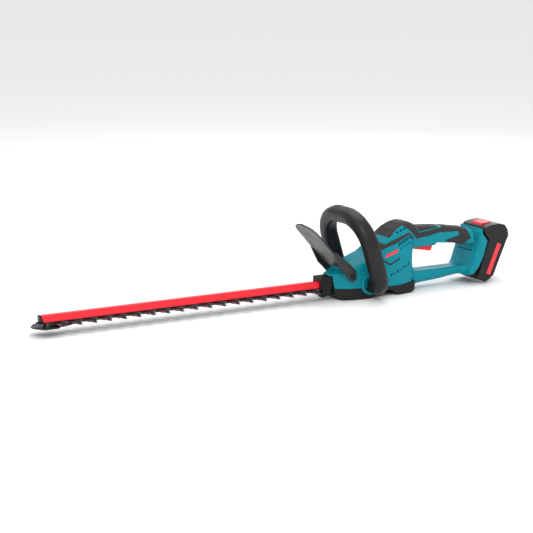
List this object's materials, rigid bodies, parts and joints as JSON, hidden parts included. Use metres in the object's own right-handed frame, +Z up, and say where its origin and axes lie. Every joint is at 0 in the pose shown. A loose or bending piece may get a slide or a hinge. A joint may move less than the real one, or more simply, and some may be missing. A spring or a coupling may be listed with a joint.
{
  "type": "hedge trimmer",
  "caption": "Cordless hedge trimmer: toothed double-sided blade under a red bar, hand guard, loop front handle, rear grip with trigger, slide-on battery.",
  "frame": {"origin": "middle of the bounding box in plan, on the surface that the tool stands on", "axes": "-X towards the blade tip, +X towards the battery, -Y is the tool's left side, +Z up"},
  "size_m": [1.0144, 0.178, 0.1788],
  "materials": {
    "teal_plastic": "fine satin texture",
    "black_plastic": "fine texture",
    "grey_rubber": "matt overmould",
    "handle_plastic": "fine texture",
    "guard_plastic": "satin",
    "bright_steel": "satin",
    "red_bar": "satin anodised",
    "dark_steel": "blackened",
    "blade_steel": "oxidised, ground tooth edges",
    "cast_metal": "as cast",
    "gear_steel": "sintered",
    "magnet": "matt",
    "copper": "bare",
    "red_plastic": "satin",
    "red_print": "plain plate",
    "battery_plastic": "fine texture",
    "board": "lacquered",
    "cell_wrap": "shrink wrap"
  },
  "bodies": {
    "body": {"housing_left": "teal_plastic", "housing_right": "teal_plastic", "base_cover": "black_plastic", "nose_block": "black_plastic", "motor_cap": "grey_rubber", "grip_pad": "grey_rubber", "rear_sleeve": "grey_rubber", "side_trim_left": "grey_rubber", "side_trim_right": "grey_rubber", "handle_front_half": "handle_plastic", "handle_rear_half": "handle_plastic", "handle_switch": "black_plastic", "handle_screws": "bright_steel", "hand_guard": "guard_plastic", "guard_screws": "dark_steel", "support_bar": "red_bar", "bar_end_cap": "black_plastic", "tip_guard": "dark_steel", "guide_bar": "dark_steel", "blade_bolts": "dark_steel", "blade_nuts": "bright_steel", "gear_case": "cast_metal", "gear_case_cover": "cast_metal", "lower_bearing": "bright_steel", "upper_bearing": "bright_steel", "motor_can": "bright_steel", "motor_magnets": "magnet", "motor_end_cap": "black_plastic", "trigger_pin": "bright_steel", "trigger_spring": "bright_steel", "switch_body": "black_plastic", "control_board": "board", "terminal_block": "black_plastic", "terminal_contacts": "copper", "housing_screws": "bright_steel", "base_screws": "bright_steel", "badges": "red_print"},
    "crank": {"drive_gear": "gear_steel", "crank_shaft": "bright_steel", "upper_cam": "gear_steel", "lower_cam": "gear_steel"},
    "motor_rotor": {"motor_shaft": "bright_steel", "armature": "copper", "motor_fan": "black_plastic", "pinion": "gear_steel"},
    "upper_blade_body": {"upper_blade": "blade_steel"},
    "lower_blade_body": {"lower_blade": "blade_steel"},
    "trigger_body": {"trigger": "red_plastic"},
    "switch_bar": {"handle_switch_bar": "handle_plastic"},
    "battery": {"battery_case": "battery_plastic", "battery_badges": "red_print", "battery_lid": "battery_plastic", "battery_cells": "cell_wrap", "battery_board": "board", "battery_contacts": "copper", "battery_screws": "bright_steel"},
    "button": {"battery_button": "red_plastic"}
  },
  "joints": [
    {"name": "crank_turn", "type": "hinge", "parent": "body", "child": "crank", "pos_m": [0.2058, 0, 0.03], "axis": [0, 0, 1], "range_deg": [-60, 60]},
    {"name": "motor_turn", "type": "hinge", "parent": "body", "child": "motor_rotor", "pos_m": [0.24705, 0, 0.03], "axis": [0, 0, 1], "range_deg": [-305, 305]},
    {"name": "upper_blade_slide", "type": "slide", "parent": "body", "child": "upper_blade_body", "axis": [1, 0, 0], "range_m": [-0.00705, 0.00705]},
    {"name": "lower_blade_slide", "type": "slide", "parent": "body", "child": "lower_blade_body", "axis": [1, 0, 0], "range_m": [-0.00705, 0.00705]},
    {"name": "trigger_pull", "type": "hinge", "parent": "body", "child": "trigger_body", "pos_m": [0.2988, 0, 0.0875], "axis": [0, -1, 0], "range_deg": [0, 8], "stiffness_Nm_per_rad": 0.3, "springref_deg": -8.59, "deforming": ["trigger_spring"]},
    {"name": "handle_switch_press", "type": "slide", "parent": "body", "child": "switch_bar", "axis": [-0.2924, 0, 0.9563], "range_m": [0, 0.004], "stiffness_N_per_m": 400, "springref_m": -0.003},
    {"name": "battery_slide", "type": "slide", "parent": "body", "child": "battery", "axis": [0.342, 0, 0.9397], "range_m": [0, 0.13]},
    {"name": "battery_button_press", "type": "slide", "parent": "battery", "child": "button", "axis": [-0.342, 0, -0.9397], "range_m": [0, 0.004], "stiffness_N_per_m": 500, "springref_m": -0.003}
  ],
  "couplings": [
    {"joint": "motor_turn", "follows": "crank_turn", "ratio": -5},
    {"joint": "upper_blade_slide", "follows": "crank_turn", "m_per_rad": -0.006616},
    {"joint": "lower_blade_slide", "follows": "crank_turn", "m_per_rad": 0.006616}
  ]
}
